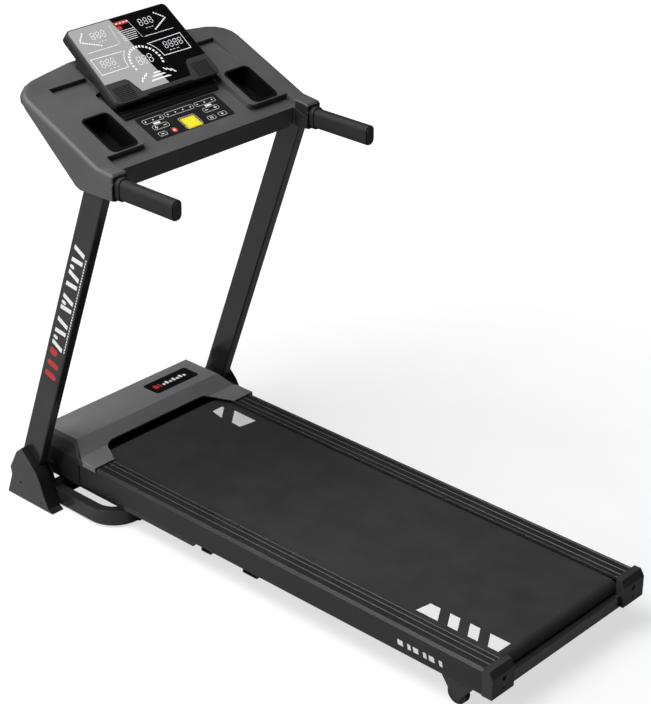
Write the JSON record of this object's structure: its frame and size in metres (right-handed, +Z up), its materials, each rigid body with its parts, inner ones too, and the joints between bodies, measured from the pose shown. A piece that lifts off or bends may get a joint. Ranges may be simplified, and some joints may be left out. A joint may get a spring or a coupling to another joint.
{
  "type": "folding treadmill",
  "caption": "Folding home treadmill with a ribbed-rail running deck, motor hood, leaning uprights, handlebars and a tilted display console.",
  "frame": {"origin": "on the floor, at the middle of the outline", "axes": "+Z up, +Y from the runner towards the console, +X to the runner's right"},
  "size_m": [0.702, 1.4788, 1.1684],
  "materials": {
    "frame": "semi-gloss powder coat",
    "shell": "fine grain",
    "hood": "fine grain",
    "rail": "ribbed, satin",
    "rubber": "matt",
    "grip": "matt moulded",
    "belt": "fine woven texture",
    "board": "pressed fibre board",
    "steel": "turned",
    "motor": "satin",
    "glass": "polished black panel with printed marks",
    "membrane": "printed membrane",
    "yellow": "printed label",
    "circuit": "circuit board",
    "black": "satin black"
  },
  "bodies": {
    "base": {"base_u_tube": "frame", "base_cross_tube": "frame", "right_foot_socket": "frame", "left_foot_socket": "frame", "right_upright": "frame", "left_upright": "frame", "console_cross_tube": "frame", "right_handlebar_tube": "frame", "left_handlebar_tube": "frame", "right_foot_cover": "shell", "left_foot_cover": "shell", "console_top_shell": "shell", "console_bottom_shell": "shell", "display_bezel": "shell", "right_rubber_foot": "rubber", "left_rubber_foot": "rubber", "right_handlebar_grip": "grip", "left_handlebar_grip": "grip", "right_pivot_bolt": "steel", "left_pivot_bolt": "steel", "display_glass": "glass", "keypad_membrane": "membrane", "safety_key_pad": "yellow", "display_board": "circuit", "right_bottle_tray": "black", "left_bottle_tray": "black", "display_pedestal": "black", "display_rear_housing": "black"},
    "deck": {"right_deck_side_frame": "frame", "left_deck_side_frame": "frame", "right_side_rail": "rail", "left_side_rail": "rail", "running_deck": "board", "right_deck_cushion": "rubber", "left_deck_cushion": "rubber", "running_belt": "belt", "right_rear_end_cap": "shell", "left_rear_end_cap": "shell", "rear_cross_bar": "frame", "deck_cross_member": "frame", "strut_cross_member": "frame", "right_rear_wheel_bracket": "frame", "left_rear_wheel_bracket": "frame", "motor_hood": "hood", "belly_pan": "frame", "motor": "motor", "drive_belt": "rubber", "motor_controller": "steel", "power_inlet": "black"},
    "front_roller": {"front_roller": "steel"},
    "rear_roller": {"rear_roller": "steel"},
    "motor_rotor": {"motor_pulley": "steel"},
    "strut_tube": {"strut_cylinder": "black"},
    "strut_piston": {"strut_rod": "steel"},
    "right_rear_wheel": {"right_rear_wheel": "rubber"},
    "left_rear_wheel": {"left_rear_wheel": "rubber"},
    "right_transport_wheel": {"right_transport_wheel": "rubber"},
    "left_transport_wheel": {"left_transport_wheel": "rubber"},
    "switch_rocker": {"power_switch": "black"},
    "breaker": {"breaker_button": "black"}
  },
  "joints": [
    {"name": "deck_fold", "type": "hinge", "parent": "base", "child": "deck", "pos_m": [0, 0.6625, 0.075], "axis": [-1, 0, 0], "range_deg": [0, 65]},
    {"name": "front_roller_spin", "type": "hinge", "parent": "deck", "child": "front_roller", "pos_m": [0, 0.54, 0.0965], "axis": [1, 0, 0], "continuous": true},
    {"name": "rear_roller_spin", "type": "hinge", "parent": "deck", "child": "rear_roller", "pos_m": [0, -0.692, 0.0965], "axis": [1, 0, 0], "continuous": true},
    {"name": "motor_spin", "type": "hinge", "parent": "deck", "child": "motor_rotor", "pos_m": [0, 0.655, 0.108], "axis": [1, 0, 0], "continuous": true},
    {"name": "strut_swing", "type": "hinge", "parent": "base", "child": "strut_tube", "pos_m": [0, 0.5625, 0.06], "axis": [-1, 0, 0], "range_deg": [0, 75.07]},
    {"name": "strut_extend", "type": "slide", "parent": "strut_tube", "child": "strut_piston", "axis": [0, -1, 0], "range_m": [0, 0.0789]},
    {"name": "right_rear_wheel_spin", "type": "hinge", "parent": "deck", "child": "right_rear_wheel", "pos_m": [0.2545, -0.6373, 0.025], "axis": [1, 0, 0], "continuous": true},
    {"name": "left_rear_wheel_spin", "type": "hinge", "parent": "deck", "child": "left_rear_wheel", "pos_m": [-0.2545, -0.6373, 0.025], "axis": [1, 0, 0], "continuous": true},
    {"name": "right_transport_wheel_spin", "type": "hinge", "parent": "base", "child": "right_transport_wheel", "pos_m": [0.32, 0.7, 0.022], "axis": [1, 0, 0], "continuous": true},
    {"name": "left_transport_wheel_spin", "type": "hinge", "parent": "base", "child": "left_transport_wheel", "pos_m": [-0.32, 0.7, 0.022], "axis": [1, 0, 0], "continuous": true},
    {"name": "switch_rock", "type": "hinge", "parent": "deck", "child": "switch_rocker", "pos_m": [0.11, 0.724, 0.082], "axis": [1, 0, 0], "range_deg": [-8, 8]},
    {"name": "breaker_press", "type": "slide", "parent": "deck", "child": "breaker", "axis": [0, -1, 0], "range_m": [0, 0.003], "stiffness_N_per_m": 300}
  ],
  "couplings": [
    {"joint": "strut_swing", "follows": "deck_fold", "ratio": 1.1518},
    {"joint": "strut_extend", "follows": "deck_fold", "m_per_rad": 0.069114},
    {"joint": "rear_roller_spin", "follows": "front_roller_spin", "ratio": 1},
    {"joint": "motor_spin", "follows": "front_roller_spin", "ratio": 2.1818}
  ]
}
